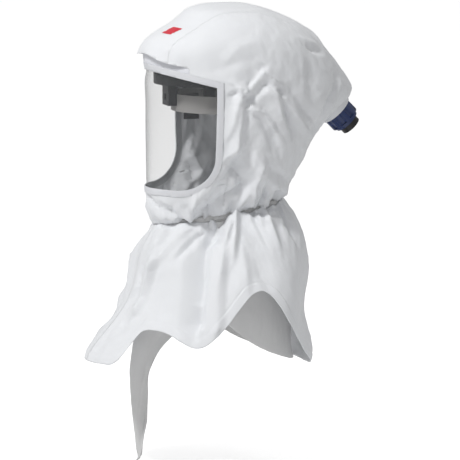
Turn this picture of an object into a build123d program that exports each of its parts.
"""Hood of a powered air respirator: a white fabric hood with a clear visor and two shoulder shrouds, carried on
an adjustable head harness with an air duct over the crown and a breathing-tube inlet at the back.

Frame: the wearer faces -Y, +X is the wearer's left, +Z is up, in millimetres.
The origin is the centre of the headband, level with the brow.
"""

import math
import os
from dataclasses import dataclass, replace
from functools import cache

from build123d import *

# ---- driving dimensions ----
FABRIC = 1.2  # laminated non-woven, modelled at this wall
FILM = 0.9  # visor film
TAPE = 0.9  # binding tape over the visor's sewn edge
SEAM = 9.0  # how far the film runs under the fabric
CLEAR = 0.3  # gap between pieces that slide past each other
RUNNING = 0.08  # radial clearance of a shaft in its hole
CROWN_HALF = 55.0  # half width of the hood's top panel

HEAD_HALF = 78.0  # headband, inside half width
HEAD_FRONT = 96.0  # headband, inside reach to the front
BAND = 2.0  # headband strap thickness
BAND_HEIGHT = 24.0
TAIL_HEIGHT = 21.0
TAIL_CENTRE_Y = 18.0  # centre of the round tails at the back of the headband
PAD = 3.0  # brow and nape pads

MODULE = 1.0  # ratchet rack and pinion
PINION_TEETH = 10
PRESSURE = math.radians(25)
BACKLASH = 0.3
TAIL_SLACK = 10.0  # tail travel, loosening
TAIL_TAKE_UP = 12.0  # tail travel, tightening

MANIFOLD_HALF = 92.0
MANIFOLD_FRONT = 123.0
MANIFOLD_LOW = 26.0
MANIFOLD_HIGH = 46.0
MANIFOLD_BACK_Y = -30.0
DUCT_WALL = 1.5
DUCT_WIDE = 54.0
DUCT_THICK = 13.0

MANIFOLD_SIDE = 9.0  # manifold thickness at the temples
MANIFOLD_NOSE = 17.0  # and at the brow
OUTLET_SLOTS = 7
OUTLET_PITCH = 15.0
DUCT_FRONT_Y = -114.5
DUCT_CORNERS = [(DUCT_FRONT_Y, MANIFOLD_HIGH), (DUCT_FRONT_Y, 112), (60, 112), (127, 43)]
DUCT_RADII = [58, 60]
DUCT_JOINTS = (-56.3, 33.5)  # where the straight length over the crown meets the two bends
OVAL_SQUARE = 0.6
ELBOW_MIDDLE = (0, 135.5, 20)
ELBOW_BACK = 10.0  # the elbow ends this far inside the fabric

LEFT_TAIL_R = 78.4
RIGHT_TAIL_R = LEFT_TAIL_R + BAND + CLEAR
KEEPER_R = RIGHT_TAIL_R + BAND + CLEAR
TAIL_OVERLAP = 26.0  # degrees past the back
HOUSING_ANGLE = 19.0
HOUSING_INNER = LEFT_TAIL_R - CLEAR
CHANNEL_OUTER = RIGHT_TAIL_R + BAND + CLEAR
HOUSING_OUTER = CHANNEL_OUTER + 3.0
HOUSING_HALF = TAIL_HEIGHT / 2 + 4.5
HOUSING_Y = TAIL_CENTRE_Y + HOUSING_OUTER - 4
COVER_R = HOUSING_INNER - 1.8
SCREW_Z = HOUSING_HALF - 2.6
SCREW_PLACES = [(74.5, -SCREW_Z), (74.5, SCREW_Z), (105.5, -SCREW_Z), (105.5, SCREW_Z)]  # degrees from +X, height
PINION_Y0 = TAIL_CENTRE_Y + HOUSING_INNER + 0.2
PINION_Y1 = TAIL_CENTRE_Y + CHANNEL_OUTER
SHAFT_R = 2.5
KNOB_Y = TAIL_CENTRE_Y + HOUSING_OUTER + 0.5
KNOB_LONG = 11.0
KNOB_R = 16.0
KNOB_FLUTES = 14
SHAFT_END_Y = KNOB_Y + 8.0
STUD_R = 2.0
STUD_Y = -22.0
STUD_Z = 7.5
STRAP = 1.4
STRAP_WIDE = 17.0
STRAP_TOP = 92.0
REAR_FOOT_Y = TAIL_CENTRE_Y + COVER_R - 0.6

INLET_CENTRE = (0.0, 140.0, -18.0)  # where the inlet's axis leaves the fabric
INLET_TILT = 45.0  # degrees that the axis points below the horizontal, backwards
SPIGOT_R = 14.5
SPIGOT_BORE_R = 12.0
SPIGOT_REACH = 35.0
RING_R = 22.0
RING_LONG = 23.0
RING_TRAVEL = 60.0  # degrees of bayonet turn
RING_GAP = 2.5  # from the fabric to the ring
RING_SCALLOPS = 8
SCALLOP_R = 8.0
SCALLOP_OUT = 27.5
LUG_ANGLES = (30, 150, 270)
LUG_HALF = 10.0
LUG_START = 9.0
LUG_END = 12.0
GROMMET_R = 24.5

BRACKET_X = (84.0, 89.0)
BRACKET_Y0 = -57.0
BRACKET_Y1 = -31.0
BRACKET_Z0 = -24.0
SHUTTER_LOW = -35.0
SHUTTER_HIGH = 4.0
SHUTTER_TRAVEL = 8.0
PATCH_LOW = 98.0
PATCH_HIGH = 105.0


@dataclass(frozen=True)
class Section:
    """One closed cross-section: two half ellipses that meet where it is widest."""

    height: float  # at y = 0
    slope: float  # rise per millimetre towards the back
    half: float
    front: float
    back: float
    widest: float = 5.0
    sharp: float = 1.0  # above 1 the section comes to points at the front and back

    def wire(self, inset=0.0, count=20):
        """The section's outline, drawn in by inset."""
        points = []
        for i in range(count):
            t = 2 * math.pi * i / count
            reach = (self.widest - self.front if math.cos(t) > 0 else self.back - self.widest) - inset
            side = math.copysign(abs(math.sin(t)) ** self.sharp, math.sin(t))
            y = self.widest - reach * math.cos(t)
            points.append((side * (self.half - inset), y, self.height + self.slope * y))
        return Wire([Edge.make_spline(points, periodic=True)])


CROWN_TOP = 135.0
NECK = Section(-145, 0.187, 68, -124, 56)
HOOD = (
    Section(134.2, 0.0, 18, -48, -5, -28),
    Section(132, 0.0, 38, -64, 14, -25),
    Section(122, 0.0, 68, -83, 50, -15),
    Section(105, 0.0, 90, -106, 85, -5),
    Section(80, 0.0, 105, -139, 113),
    Section(62, 0.0, 110, -139, 129),
    Section(35, 0.0, 113, -137, 149),
    Section(6, 0.0, 114, -137, 158),
    Section(-20, 0.02, 112, -137, 134),
    Section(-46, 0.05, 109, -137, 109),
    Section(-80, 0.09, 103, -137, 90),
    Section(-110, 0.13, 95, -136, 77),
    Section(-131, 0.17, 82, -132, 64),
    NECK,
)
SHROUD = (
    NECK,
    Section(-160, 0.187, 82, -134, 66),
    Section(-190, 0.13, 106, -146, 84),
    Section(-235, 0.05, 136, -154, 88, 0, 1.1),
    Section(-300, 0.0, 160, -183, 83, -5, 1.2),
    Section(-385, 0.0, 176, -216, 74, -10, 1.25),
)
LINER_TOP = replace(NECK, height=NECK.height - 8, half=62, front=-117, back=49)
LINER = (
    LINER_TOP,
    Section(-190, 0.13, 66, -127, 60),
    Section(-250, 0.04, 68, -141, 68),
    Section(-320, 0.0, 62, -154, 72),
    Section(-400, 0.0, 46, -158, 76),
    Section(-520, 0.0, 34, -152, 74),
)
# Hem lines, as (y, z) seen from the side, from the front to the back.
SHROUD_HEM = [
    (-206, -356), (-194, -343), (-180, -325), (-163, -307), (-140, -308), (-113, -325),
    (-58, -285), (-12, -249), (21, -290), (50, -333), (89, -371),
]
LINER_HEM = [
    (-150, -506), (-144, -430), (-140, -372), (-112, -322), (-60, -298), (-10, -330), (50, -360), (86, -372),
]
# The face opening, as (y, z) seen from the side.
VISOR_FRONT = -139.0
FACE_TOP_FRONT = 47.0
FACE_TOP_BACK = 28.0
FACE_BACK = -65.0
FACE_LOW = -117.0
FACE_CORNER_R = 46.0
CHIN_BACK = -48.0
CHIN_TOP = -100.0


@cache
def loft(sections, inset=0.0, top=None):
    """A solid through the sections, closed by a point at top where the hood has a crown."""
    ends = [] if top is None else [Vertex(0, sections[0].widest, top - inset)]
    lowered = [
        replace(s, height=s.height - inset) if top is not None and s.height > top - 35 else s for s in sections
    ]
    return Solid.make_loft(ends + [s.wire(inset) for s in lowered])


def across(outline, half=300.0):
    """A prism of a side-view outline, given as a face in the YZ plane, through the whole width."""
    return extrude(outline, amount=half, dir=(1, 0, 0), both=True)


def below_hem(hem):
    """Everything below a hem line."""
    line = Edge.make_spline([(0, y, z) for y, z in hem])
    (y0, z0), (y1, z1) = hem[0], hem[-1]
    floor = z0 - 400
    far_back = [(0, y1, z1), (0, y1 + 80, z1 - 10), (0, y1 + 80, floor)]
    far_front = [(0, y0 - 120, floor), (0, y0 - 120, z0 - 10), (0, y0, z0)]
    rest = Polyline(*far_back, *far_front).edges()
    return across(make_face([line] + rest))


def face_opening(grow=0.0):
    """The opening for the face, seen from the side, larger all round by grow."""
    far = -220.0
    slope = (FACE_TOP_FRONT - FACE_TOP_BACK) / (VISOR_FRONT - FACE_BACK)
    back = FACE_BACK + grow
    high = (0, back, FACE_TOP_BACK + grow)
    low = (0, back, FACE_LOW - grow)
    far_high = (0, far, FACE_TOP_BACK + slope * (far - FACE_BACK) + grow)
    far_low = (0, far, FACE_LOW - grow)
    edges = FilletPolyline(far_high, high, low, far_low, radius=[4 + grow, FACE_CORNER_R + grow])
    return across(make_face(edges.edges() + Line(edges @ 1, edges @ 0).edges()))


def inlet_plane(along=0.0):
    """A plane across the inlet's axis, this far out from the fabric."""
    tilt = math.radians(INLET_TILT)
    out = Vector(0, math.cos(tilt), -math.sin(tilt))
    return Plane(origin=Vector(*INLET_CENTRE) + out * along, x_dir=(1, 0, 0), z_dir=out)


def inlet_tube(outer, inner, start, end):
    """A round tube on the inlet's axis from start to end, measured from the fabric."""
    ring = Circle(outer) if inner <= 0 else Circle(outer) - Circle(inner)
    return extrude(inlet_plane(start) * ring, amount=end - start)


def box_between(low, high):
    size = [h - l for l, h in zip(low, high)]
    centre = [(h + l) / 2 for l, h in zip(low, high)]
    return Pos(*centre) * Box(*size)


def plan_ellipse(half, front, widest=0.0, count=24):
    """A plan outline at z = 0: a half ellipse to the front, and straight on to the back."""
    points = []
    for i in range(count + 1):
        t = math.pi * i / count
        points.append((-half * math.cos(t), widest - (widest - front) * math.sin(t), 0))
    return points


def brow_prism(half, front, low, high):
    """Everything inside a half ellipse round the front of the head, from y = 0 forwards."""
    arc = Edge.make_spline(plan_ellipse(half, front), tangents=[(0, -1, 0), (0, 1, 0)])
    face = make_face([arc, Edge.make_line((half, 0, 0), (-half, 0, 0))])
    return extrude(Pos(0, 0, low) * face, amount=high - low)


def front_band(half, front, thick, low, high):
    """An upright band round the front of the head."""
    return brow_prism(half + thick, front - thick, low, high) - brow_prism(half, front, low, high)


def arc_band(inner, thick, low, high, start, end):
    """An upright band on the round back of the headband, between two angles from +X."""
    ring = Circle(inner + thick) - Circle(inner)
    band = extrude(Pos(0, TAIL_CENTRE_Y, low) * ring, amount=high - low)
    reach = 3 * inner
    steps = math.ceil(abs(end - start) / 60)
    angles = [math.radians(start + (end - start) * i / steps) for i in range(steps + 1)]
    rim = [(reach * math.cos(a), reach * math.sin(a)) for a in angles]
    sector = make_face(Polyline((0, 0), *rim, close=True))
    return band & extrude(Pos(0, TAIL_CENTRE_Y, low - 1) * sector, amount=high - low + 2)


# ---- fabric hood ----
def hood_shell():
    shell = loft(HOOD, top=CROWN_TOP) - loft(HOOD, FABRIC, CROWN_TOP)
    return shell - inlet_tube(SPIGOT_R + 3.5, 0, -30, 40)


def fabric_panels():
    """The hood's sewn panels, cut from one shell so that their edges meet."""
    shell = hood_shell() - face_opening()
    chin_region = box_between((-300, -300, -300), (300, CHIN_BACK, CHIN_TOP))
    top_region = box_between((-CROWN_HALF, -300, -300), (CROWN_HALF, 300, 300))
    upper = shell - chin_region
    sides = upper - top_region
    return {
        "hood_chin": shell & chin_region,
        "hood_crown": upper & top_region,
        "hood_side_left": sides & box_between((0, -300, -300), (300, 300, 300)),
        "hood_side_right": sides & box_between((-300, -300, -300), (0, 300, 300)),
    }


def visor_film():
    return (loft(HOOD, FABRIC, CROWN_TOP) - loft(HOOD, FABRIC + FILM, CROWN_TOP)) & face_opening(SEAM)


def visor_binding():
    over = loft(HOOD, -TAPE, CROWN_TOP) & (face_opening(SEAM) - face_opening(0.5))
    return over - loft(HOOD, 0, CROWN_TOP)


def neck_elastic():
    """A flat elastic band just inside the gathered neck."""
    gap = FABRIC + CLEAR
    levels = tuple(replace(NECK, height=NECK.height + dz) for dz in (-6, 0, 6))
    return loft(levels, gap + 1.0) - loft(levels, gap + 3.0)


def skirt(sections, hem):
    return loft(sections) - loft(sections, FABRIC) - below_hem(hem)


def shrouds():
    outer = skirt(SHROUD, SHROUD_HEM)
    left = box_between((0, -400, -600), (400, 400, 200))
    return {"shroud_left": outer & left, "shroud_right": outer - left, "inner_shroud": skirt(LINER, LINER_HEM)}


# ---- head harness ----
def headband_front():
    """The brow strap, whose ends run on as round keepers outside the sliding tails."""
    brow = front_band(HEAD_HALF, -HEAD_FRONT, BAND, -BAND_HEIGHT / 2, BAND_HEIGHT / 2)
    low, high = -TAIL_HEIGHT / 2, TAIL_HEIGHT / 2
    side_strap = box_between((KEEPER_R, -1, low), (KEEPER_R + BAND, TAIL_CENTRE_Y, high))
    joggle = box_between((HEAD_HALF, -4, low), (KEEPER_R + BAND, 0, high))
    keeper = arc_band(KEEPER_R, BAND, low, high, 0, 34)
    band = brow
    for piece in (side_strap, joggle, keeper):
        band += piece
        band += mirror(piece, Plane.YZ)
    for side in (1, -1):  # holes for the cross strap's studs
        band -= stud_hole(side * (HEAD_HALF + BAND), STUD_Y)
    return band - front_stud_hole()


def stud_hole(x, y):
    return Pos(x, y, STUD_Z) * Rot(0, 90, 0) * Cylinder(STUD_R + 0.1, 20)


def front_stud_hole():
    return Pos(0, -HEAD_FRONT, STUD_Z) * Rot(90, 0, 0) * Cylinder(STUD_R + 0.1, 12)


def rack_slot(inner, tooth_side, shift_low, shift_high):
    """The slot in a tail, with rack teeth along its upper (1) or lower (-1) edge."""
    pitch = math.pi * MODULE
    pitch_r = MODULE * PINION_TEETH / 2
    tall = pitch_r + 2.2
    middle = inner + BAND / 2
    length_low = shift_low - pitch_r - 3
    length_high = shift_high + pitch_r + 3
    start = 90 + math.degrees(length_low / middle)
    end = 90 + math.degrees(length_high / middle)
    root = pitch_r + 1.2 * MODULE
    low, high = (-tall, root) if tooth_side > 0 else (-root, tall)
    slot = arc_band(inner - 1, BAND + 2, low, high, start, end)
    count = int((length_high - length_low) / pitch) - 1
    first = math.ceil((length_low + pitch) / pitch)
    for i in range(first, first + count):
        slot -= rack_tooth(i * pitch, middle, tooth_side, pitch_r, root)
    return slot


def rack_tooth(along, middle, tooth_side, pitch_r, root):
    """One tooth that stands in from the slot's edge, at this distance along the tail."""
    half = (math.pi * MODULE - BACKLASH * 2) / 4
    tip = pitch_r - 0.7 * MODULE
    lean = math.tan(PRESSURE)
    outline = [
        (-half - (root + 0.5 - pitch_r) * lean, root + 0.5),
        (-half + (pitch_r - tip) * lean, tip),
        (half - (pitch_r - tip) * lean, tip),
        (half + (root + 0.5 - pitch_r) * lean, root + 0.5),
    ]
    face = make_face(Polyline(*[(x, tooth_side * z) for x, z in outline], close=True))
    bar = extrude(Plane(origin=(0, 0, 0), x_dir=(1, 0, 0), z_dir=(0, -1, 0)) * face, amount=-2 * middle)
    turn = math.degrees(along / middle)
    tooth = bar & box_between((-20, middle - 10, -20), (20, middle + 10, 20))
    return Pos(0, TAIL_CENTRE_Y, 0) * Rot(0, 0, turn) * tooth


def headband_tail(side):
    """A round tail with a toothed slot; side 1 is the wearer's left, with teeth on the slot's upper edge."""
    inner = LEFT_TAIL_R if side > 0 else RIGHT_TAIL_R
    start, end = (13, 90 + TAIL_OVERLAP) if side > 0 else (90 - TAIL_OVERLAP, 167)
    band = arc_band(inner, BAND, -TAIL_HEIGHT / 2, TAIL_HEIGHT / 2, start, end)
    shifts = (-TAIL_TAKE_UP, TAIL_SLACK) if side > 0 else (-TAIL_SLACK, TAIL_TAKE_UP)
    return band - rack_slot(inner, side, *shifts)


def involute_tooth():
    """The outline of one pinion tooth about +Y up, from its root to its tip."""
    pitch_r = MODULE * PINION_TEETH / 2
    base_r = pitch_r * math.cos(PRESSURE)
    tip_r = pitch_r + 0.9 * MODULE
    spread = math.pi / (2 * PINION_TEETH) + math.tan(PRESSURE) - PRESSURE - BACKLASH / (2 * pitch_r) / 2
    flank = []
    for i in range(5):
        r = base_r + (tip_r - base_r) * i / 4
        a = math.acos(base_r / r)
        flank.append((r, spread - (math.tan(a) - a)))
    right = [(r * math.sin(a), r * math.cos(a)) for r, a in flank]
    left = [(-x, y) for x, y in reversed(right)]
    root = 3.2 * MODULE
    foot = math.sin(spread) * root
    return Polyline((foot, root), *right, *left, (-foot, root), close=True)


def ratchet_pinion():
    """The pinion and its shaft, on the Y axis through the origin's height."""
    pitch_r = MODULE * PINION_TEETH / 2
    tooth = make_face(involute_tooth())
    teeth = [Rot(0, 0, (i + 0.5) * 360 / PINION_TEETH) * tooth for i in range(PINION_TEETH)]
    gear = Circle(pitch_r - 1.3 * MODULE) + teeth
    to_back = Plane(origin=(0, PINION_Y0, 0), x_dir=(1, 0, 0), z_dir=(0, -1, 0))
    body = extrude(to_back * gear, amount=PINION_Y0 - PINION_Y1)
    shaft = extrude(to_back * Circle(SHAFT_R), amount=PINION_Y0 - SHAFT_END_Y)
    return body + shaft


def ratchet_housing():
    """The curved box round the overlapping tails, open at both sides and towards the head."""
    half = HOUSING_ANGLE
    thick = HOUSING_OUTER - HOUSING_INNER
    box = arc_band(HOUSING_INNER, thick, -HOUSING_HALF, HOUSING_HALF, 90 - half, 90 + half)
    tall = TAIL_HEIGHT / 2 + CLEAR
    deep = CHANNEL_OUTER - HOUSING_INNER + 1
    channel = arc_band(HOUSING_INNER - 1, deep, -tall, tall, 90 - half - 1, 90 + half + 1)
    bore = Pos(0, HOUSING_Y, 0) * Rot(90, 0, 0) * Cylinder(SHAFT_R + RUNNING, 40)
    boss_hole = Pos(0, PINION_Y1 - 6 + CLEAR, 0) * Rot(90, 0, 0) * Cylinder(MODULE * PINION_TEETH / 2 + 1.4, 12)
    screws = [screw_at(angle, z, CLEAR / 3) for angle, z in SCREW_PLACES]
    body = box - channel - bore - boss_hole
    for screw in screws:
        body -= screw
    return body


def ratchet_cover():
    """The curved plate that closes the housing towards the head."""
    half = HOUSING_ANGLE
    plate = arc_band(COVER_R, HOUSING_INNER - COVER_R, -HOUSING_HALF, HOUSING_HALF, 90 - half, 90 + half)
    for angle, z in SCREW_PLACES:
        plate -= screw_at(angle, z, CLEAR / 3)
    return plate


def screw_at(angle, z, grow=0.0):
    """A cover screw on a radius of the round back, head inwards; with grow, the hole that takes it."""
    head_top = COVER_R - (2 if grow else 0)
    head_foot = COVER_R + 1 + grow
    shank = Pos(HOUSING_INNER + 1, 0, z) * Rot(0, 90, 0) * Cylinder(0.9 + grow, 5)
    head = Pos((head_top + head_foot) / 2, 0, z) * Rot(0, 90, 0) * Cylinder(2.0 + grow, head_foot - head_top)
    return Pos(0, TAIL_CENTRE_Y, 0) * Rot(0, 0, angle) * (shank + head)


def ratchet_knob():
    """A fluted knob on the pinion's shaft."""
    body = Pos(0, KNOB_Y + KNOB_LONG / 2, 0) * Rot(90, 0, 0) * Cylinder(KNOB_R, KNOB_LONG)
    body = fillet(body.edges().filter_by(GeomType.CIRCLE).sort_by(Axis.Y)[-1], 2.5)
    flute = Pos(KNOB_R + 1.6, KNOB_Y + KNOB_LONG / 2 + 1.5, 0) * Rot(90, 0, 0) * Cylinder(3.0, KNOB_LONG)
    for i in range(KNOB_FLUTES):
        body -= Rot(0, i * 360 / KNOB_FLUTES, 0) * flute
    socket = Rot(90, 0, 0) * Cylinder(SHAFT_R, SHAFT_END_Y - KNOB_Y + 1)
    return body - Pos(0, (KNOB_Y + SHAFT_END_Y) / 2 - 0.5, 0) * socket


def brow_pad():
    pad = front_band(HEAD_HALF - PAD, -HEAD_FRONT + PAD, PAD - 0.2, -BAND_HEIGHT / 2 + 1, BAND_HEIGHT / 2 - 8.5)
    return pad & box_between((-100, -120, -30), (100, -38, 30))


def nape_pad():
    return arc_band(COVER_R - PAD, PAD, -HOUSING_HALF + 1, 1, 90 - HOUSING_ANGLE + 1, 90 + HOUSING_ANGLE - 1)


def hoop(points, wide, thick, across_x):
    """A flat strap over the head: a spline through points, given a thickness towards the head."""
    if across_x:
        plane = Plane(origin=(0, 0, 0), x_dir=(1, 0, 0), z_dir=(0, -1, 0))
    else:
        plane = Plane(origin=(0, 0, 0), x_dir=(0, 1, 0), z_dir=(1, 0, 0))
    line = Edge.make_spline([(u, v, 0) for u, v in points], tangents=[(0, 1, 0), (0, -1, 0)])
    inner = [(u * (1 - thick / abs(points[0][0])), v) for u, v in points]
    top = max(v for _, v in points)
    inner = [(u, v - thick * max(v, 0) / top) for u, v in inner]
    back = Edge.make_spline([(u, v, 0) for u, v in inner], tangents=[(0, 1, 0), (0, -1, 0)])
    ends = [Edge.make_line(back @ 0, line @ 0), Edge.make_line(line @ 1, back @ 1)]
    return extrude(plane * make_face([line, back] + ends), amount=wide / 2, both=True)


def arch(half_low, top, low, shift=0.0):
    """Points of a head-shaped arch from one side to the other."""
    points = []
    for i in range(9):
        t = math.pi * i / 8
        points.append((shift + half_low * math.cos(t), low + (top - low) * math.sin(t) ** 0.8))
    return points


def half_at(half, front, y):
    """Half the width at y of a half ellipse round the front of the head."""
    return half * math.sqrt(1 - (y / front) ** 2)


def crown_straps():
    """The strap over the head from side to side, and the one from brow to nape that crosses on top of it."""
    cross_foot = half_at(HEAD_HALF, HEAD_FRONT, STUD_Y - STRAP_WIDE / 2) - 0.1
    cross = Pos(0, STUD_Y, 0) * hoop(arch(cross_foot, STRAP_TOP, -6), STRAP_WIDE, STRAP, True)
    for side in (1, -1):
        cross -= stud_hole(side * HEAD_HALF, STUD_Y)
    front, back = -HEAD_FRONT + 0.7, REAR_FOOT_Y
    middle, half = (front + back) / 2, (back - front) / 2
    long = hoop(arch(half, STRAP_TOP + STRAP + 5.0, 4, middle), STRAP_WIDE, STRAP, False)
    long -= front_stud_hole()
    return cross, long


def strap_studs():
    """The moulded studs that hold the straps to the headband."""
    inner = half_at(HEAD_HALF, HEAD_FRONT, STUD_Y - STRAP_WIDE / 2) - STRAP - 0.6
    outer = half_at(HEAD_HALF + BAND, HEAD_FRONT + BAND, STUD_Y + STUD_R + 1.6) + 0.1
    stud = stud_along(inner, outer)
    left = Pos(0, STUD_Y, STUD_Z) * stud
    right = Pos(0, STUD_Y, STUD_Z) * Rot(0, 0, 180) * stud
    front = Pos(0, 0, STUD_Z) * Rot(0, 0, -90) * stud_along(HEAD_FRONT - STRAP - 1.2, HEAD_FRONT + BAND + 0.1)
    return Compound(children=[s for stud in (left, right, front) for s in stud.solids()])


def stud_along(inner, outer):
    """One stud along +X from inner, with its head outside outer."""
    shank = Pos((inner + outer) / 2, 0, 0) * Rot(0, 90, 0) * Cylinder(STUD_R, outer - inner)
    return shank + Pos(outer + 0.8, 0, 0) * Rot(0, 90, 0) * Cylinder(STUD_R + 1.6, 1.6)


# ---- air path ----
def brow_manifold():
    """The hollow bar round the brow that lets the air down over the face, with slots along its underside."""
    grown = manifold_bar(0, MANIFOLD_LOW, MANIFOLD_HIGH, MANIFOLD_BACK_Y)
    wall = DUCT_WALL
    hollow = manifold_bar(wall, MANIFOLD_LOW + wall, MANIFOLD_HIGH - wall, MANIFOLD_BACK_Y - wall)
    bar = grown - hollow
    for i in range(OUTLET_SLOTS):
        x = (i - (OUTLET_SLOTS - 1) / 2) * OUTLET_PITCH
        share = x / (MANIFOLD_HALF - MANIFOLD_SIDE / 2)
        y = -(MANIFOLD_FRONT - MANIFOLD_NOSE / 2) * math.sqrt(1 - share**2)
        bar -= box_between((x - 4.5, y - 3.5, MANIFOLD_LOW - 1), (x + 4.5, y + 3.5, MANIFOLD_LOW + wall + 1))
    half = DUCT_WIDE / 2 - 4
    low, high = MANIFOLD_HIGH - 4, MANIFOLD_HIGH + 4
    inlet = box_between((-half, DUCT_FRONT_Y - 4, low), (half, DUCT_FRONT_Y + 4, high))
    return bar - inlet


def manifold_bar(inset, low, high, back):
    """The manifold's solid outline, drawn in by inset."""
    outer = brow_prism(MANIFOLD_HALF - inset, -MANIFOLD_FRONT + inset, low, high)
    inner_half = MANIFOLD_HALF - MANIFOLD_SIDE + inset
    bar = outer - brow_prism(inner_half, -MANIFOLD_FRONT + MANIFOLD_NOSE - inset, low, high)
    return bar - box_between((-200, back, low - 1), (200, 100, high + 1))


def flat_oval(plane, wide, thick, square=OVAL_SQUARE, count=20):
    """A closed flat-oval wire on a plane, for the duct's walls."""
    points = []
    for i in range(count):
        t = 2 * math.pi * i / count
        u = math.copysign(abs(math.cos(t)) ** square, math.cos(t)) * wide / 2
        v = math.copysign(abs(math.sin(t)) ** square, math.sin(t)) * thick / 2
        points.append(plane.from_local_coords(Vector(u, v, 0)))
    return Wire([Edge.make_spline(points, periodic=True)])


def duct_path():
    """The duct's centre line in the YZ plane, from the manifold over the crown to the back of the hood."""
    corners = [(0, y, z) for y, z in DUCT_CORNERS]
    return FilletPolyline(*corners, radius=DUCT_RADII)


def air_duct():
    """The flat duct over the crown, in three lengths that butt: the riser, the straight and the fall."""
    path = duct_path()
    start = Plane(origin=path @ 0, x_dir=(1, 0, 0), z_dir=path % 0)
    walls = []
    for inset in (0, DUCT_WALL):
        section = RectangleRounded(DUCT_WIDE - 2 * inset, DUCT_THICK - 2 * inset, DUCT_THICK / 2 - inset - 0.4)
        walls.append(sweep(start * section, path=path))
    tube = walls[0] - walls[1]
    front, back = DUCT_JOINTS
    return {
        "air_duct_front": tube & box_between((-50, -300, -100), (50, front, 300)),
        "air_duct_top": tube & box_between((-50, front, -100), (50, back, 300)),
        "air_duct_rear": tube & box_between((-50, back, -100), (50, 300, 300)),
    }


def inlet_elbow():
    """The moulded elbow from the flat duct to the round inlet."""
    path = duct_path()
    end, along = path @ 1, path % 1
    top = Plane(origin=end, x_dir=(1, 0, 0), z_dir=along)
    middle = Plane(origin=ELBOW_MIDDLE, x_dir=(1, 0, 0), z_dir=(0, 0.3, -1))
    mouth = 2 * (SPIGOT_R + 2.5)
    walls = []
    for inset in (0, DUCT_WALL):
        wires = [
            flat_oval(top, DUCT_WIDE - 2 * inset, DUCT_THICK + 1 - 2 * inset),
            flat_oval(middle, 44 - 2 * inset, 24 - 2 * inset),
            flat_oval(inlet_plane(-ELBOW_BACK), mouth - 2 * inset, mouth - 2 * inset, 1.0),
        ]
        walls.append(Solid.make_loft(wires))
    return walls[0] - walls[1]


def inlet_spigot():
    """The black tube for the breathing tube, with its flange inside the hood and its bayonet lugs."""
    tube = inlet_tube(SPIGOT_R, SPIGOT_BORE_R, -ELBOW_BACK, SPIGOT_REACH)
    tube += inlet_tube(SPIGOT_R + 6, SPIGOT_BORE_R, -ELBOW_BACK, -ELBOW_BACK + 2)
    for angle in LUG_ANGLES:
        tube += lug(SPIGOT_R + 2.0, LUG_START, LUG_END, angle - LUG_HALF, angle + LUG_HALF)
    ring_end = RING_LONG + RING_GAP
    return tube - inlet_tube(SPIGOT_R + 2.5, SPIGOT_R - 0.9, ring_end + 0.6, ring_end + 2.4)


def lug(radius, start, end, low, high):
    """A sector of a tube on the inlet's axis, outside the spigot's wall."""
    reach = 2 * radius
    angles = [math.radians(a) for a in (low, (low + high) / 2, high)]
    rim = [(reach * math.cos(a), reach * math.sin(a)) for a in angles]
    wedge = extrude(inlet_plane(start) * make_face(Polyline((0, 0), *rim, close=True)), amount=end - start)
    return inlet_tube(radius, SPIGOT_R - 0.5, start, end) & wedge


def spigot_seal():
    """The rubber ring in the spigot's groove."""
    middle = RING_LONG + RING_GAP + 1.5
    groove = SPIGOT_R - 0.9
    return inlet_tube(groove + 1.5, groove, middle - 0.8, middle + 0.8)


def inlet_grommet():
    """The ring that stiffens the fabric round the inlet; its back follows the fabric."""
    ring = inlet_tube(GROMMET_R, SPIGOT_R + 3.5, -8, RING_GAP - CLEAR)
    return ring - loft(HOOD, 0, CROWN_TOP)


def lock_ring():
    """The scalloped ring that locks the hood on to the spigot by a part turn."""
    start, end = RING_GAP, RING_GAP + RING_LONG
    body = inlet_tube(RING_R, 0, start, end)
    edges = body.edges().filter_by(GeomType.CIRCLE)
    body = fillet(edges, 2.0)
    for i in range(RING_SCALLOPS):
        turn = math.radians((i + 0.5) * 360 / RING_SCALLOPS)
        place = inlet_plane(start - 1)
        cut = Pos(SCALLOP_OUT * math.cos(turn), SCALLOP_OUT * math.sin(turn)) * Circle(SCALLOP_R)
        body -= extrude(place * cut, amount=RING_LONG - 5)
    body -= extrude(inlet_plane(end - 4.5) * (Circle(RING_R + 2) - Circle(RING_R - 3.5)), amount=6)
    body -= inlet_tube(SPIGOT_R + RUNNING, 0, start - 1, end + 1)
    half = LUG_HALF + 2
    reach = SPIGOT_R + 2.0 + CLEAR
    for angle in LUG_ANGLES:
        open_at = angle - RING_TRAVEL
        body -= lug(reach, LUG_START - CLEAR, LUG_END + CLEAR, open_at - half, angle + half)
        body -= lug(reach, start - 1, LUG_START, open_at - half, open_at + half)
    return body


def temple_bracket(side):
    """The channel that hangs from the manifold's end and carries the air shutter."""
    x0, x1 = BRACKET_X
    top = MANIFOLD_LOW + 10
    plate = box_between((x0, BRACKET_Y0, BRACKET_Z0), (x0 + 1.6, BRACKET_Y1, top))
    for y in (BRACKET_Y0, BRACKET_Y1 - 1.6):
        plate += box_between((x0, y, BRACKET_Z0), (x1, y + 1.6, top))
        inner = y + 1.6 if y == BRACKET_Y0 else y - 1.2
        plate += box_between((x1 - 1.0, inner, BRACKET_Z0), (x1, inner + 1.2, top))
    window = box_between((x0 - 1, BRACKET_Y0 + 5, -14), (x0 + 2, BRACKET_Y1 - 5, 2))
    arm = box_between((HEAD_HALF + BAND, BRACKET_Y1 - 7, -6), (x0, BRACKET_Y1 - 2, 6))
    manifold = manifold_bar(0, MANIFOLD_LOW, MANIFOLD_HIGH, MANIFOLD_BACK_Y)
    piece = plate - window - manifold + (arm - front_solid())
    return mirror(piece, Plane.YZ) if side < 0 else piece


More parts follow.
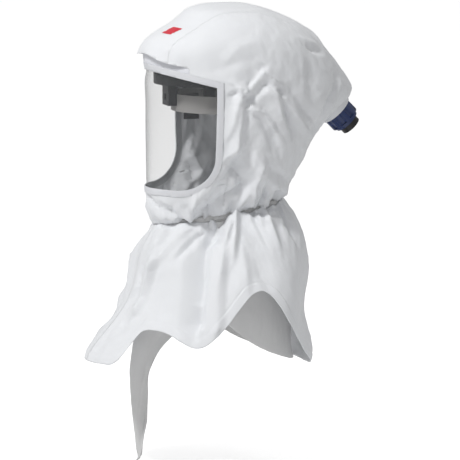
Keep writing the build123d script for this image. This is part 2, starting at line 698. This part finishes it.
def front_solid():
    """Everything inside the headband's outer face, to trim what stands against it."""
    return brow_prism(HEAD_HALF + BAND, -HEAD_FRONT - BAND, -40, 40)


def air_shutter(side):
    """The sliding plate in a temple bracket, with a finger tab at its foot."""
    x0 = BRACKET_X[0] + 1.6 + CLEAR
    x1 = BRACKET_X[1] - 1.0 - CLEAR
    y0, y1 = BRACKET_Y0 + 1.6 + CLEAR, BRACKET_Y1 - 1.6 - CLEAR
    plate = box_between((x0, y0, SHUTTER_LOW), (x1, y1, SHUTTER_HIGH))
    tab = box_between((x0, BRACKET_Y0 + 4, SHUTTER_LOW), (BRACKET_X[1] + 2.0, BRACKET_Y1 - 4, SHUTTER_LOW + 3))
    rise = SHUTTER_LOW + 9
    ridge = box_between((x0, BRACKET_Y0 + 6, rise), (BRACKET_X[1] + 0.6, BRACKET_Y1 - 6, rise + 1.5))
    piece = plate + tab + ridge
    return mirror(piece, Plane.YZ) if side < 0 else piece


def bridges():
    """The block between headband and manifold, and the arm between the ratchet's housing and the duct."""
    front = box_between((-14, -MANIFOLD_FRONT + MANIFOLD_NOSE - 3, -4), (14, -HEAD_FRONT, MANIFOLD_LOW + 7))
    front -= front_solid() + manifold_bar(0, MANIFOLD_LOW, MANIFOLD_HIGH, MANIFOLD_BACK_Y)
    front -= box_between((-4, -200, STUD_Z - 4), (4, 200, STUD_Z + 4))
    hull = duct_hull()
    rear = box_between((-7, HOUSING_Y - 2, HOUSING_HALF), (7, HOUSING_Y + 2, 90)) - hull
    rear = rear.solids().sort_by(Axis.Z)[0]
    return front, rear


def duct_hull():
    path = duct_path()
    start = Plane(origin=path @ 0, x_dir=(1, 0, 0), z_dir=path % 0)
    return sweep(start * RectangleRounded(DUCT_WIDE, DUCT_THICK, DUCT_THICK / 2 - 0.4), path=path)


def brow_patch():
    """A small plain badge on the brow of the hood."""
    band = loft(HOOD, -0.6, CROWN_TOP) & (Pos(30, -118, 130) * Rot(0, 0, 24) * Box(26, 60, 120))
    return band & box_between((0, -200, PATCH_LOW), (100, 0, PATCH_HIGH)) - loft(HOOD, 0, CROWN_TOP)


def build():
    nodes = {}
    nodes.update(fabric_panels())
    nodes["visor"] = visor_film()
    nodes["visor_binding"] = visor_binding()
    nodes["neck_elastic"] = neck_elastic()
    nodes.update(shrouds())
    nodes["headband_front"] = headband_front()
    nodes["headband_tail_left"] = headband_tail(1)
    nodes["headband_tail_right"] = headband_tail(-1)
    nodes["ratchet_housing"] = ratchet_housing()
    nodes["ratchet_cover"] = ratchet_cover()
    nodes["cover_screws"] = Compound(children=[s for a, z in SCREW_PLACES for s in screw_at(a, z).solids()])
    nodes["ratchet_pinion"] = ratchet_pinion()
    nodes["ratchet_knob"] = ratchet_knob()
    nodes["brow_pad"] = brow_pad()
    nodes["nape_pad"] = nape_pad()
    nodes["crown_strap_cross"], nodes["crown_strap_long"] = crown_straps()
    nodes["strap_studs"] = strap_studs()
    nodes["brow_manifold"] = brow_manifold()
    nodes.update(air_duct())
    nodes["inlet_elbow"] = inlet_elbow()
    nodes["inlet_spigot"] = inlet_spigot()
    nodes["spigot_seal"] = spigot_seal()
    nodes["inlet_grommet"] = inlet_grommet()
    nodes["lock_ring"] = lock_ring()
    for side, name in ((1, "left"), (-1, "right")):
        nodes[f"temple_bracket_{name}"] = temple_bracket(side)
        nodes[f"air_shutter_{name}"] = air_shutter(side)
    nodes["front_bridge"], nodes["rear_bridge"] = bridges()
    nodes["brow_patch"] = brow_patch()
    return nodes


def main():
    os.makedirs("parts", exist_ok=True)
    for name, shape in build().items():
        export_step(Compound(children=list(shape.solids())), f"parts/{name}.step")


if __name__ == "__main__":
    main()
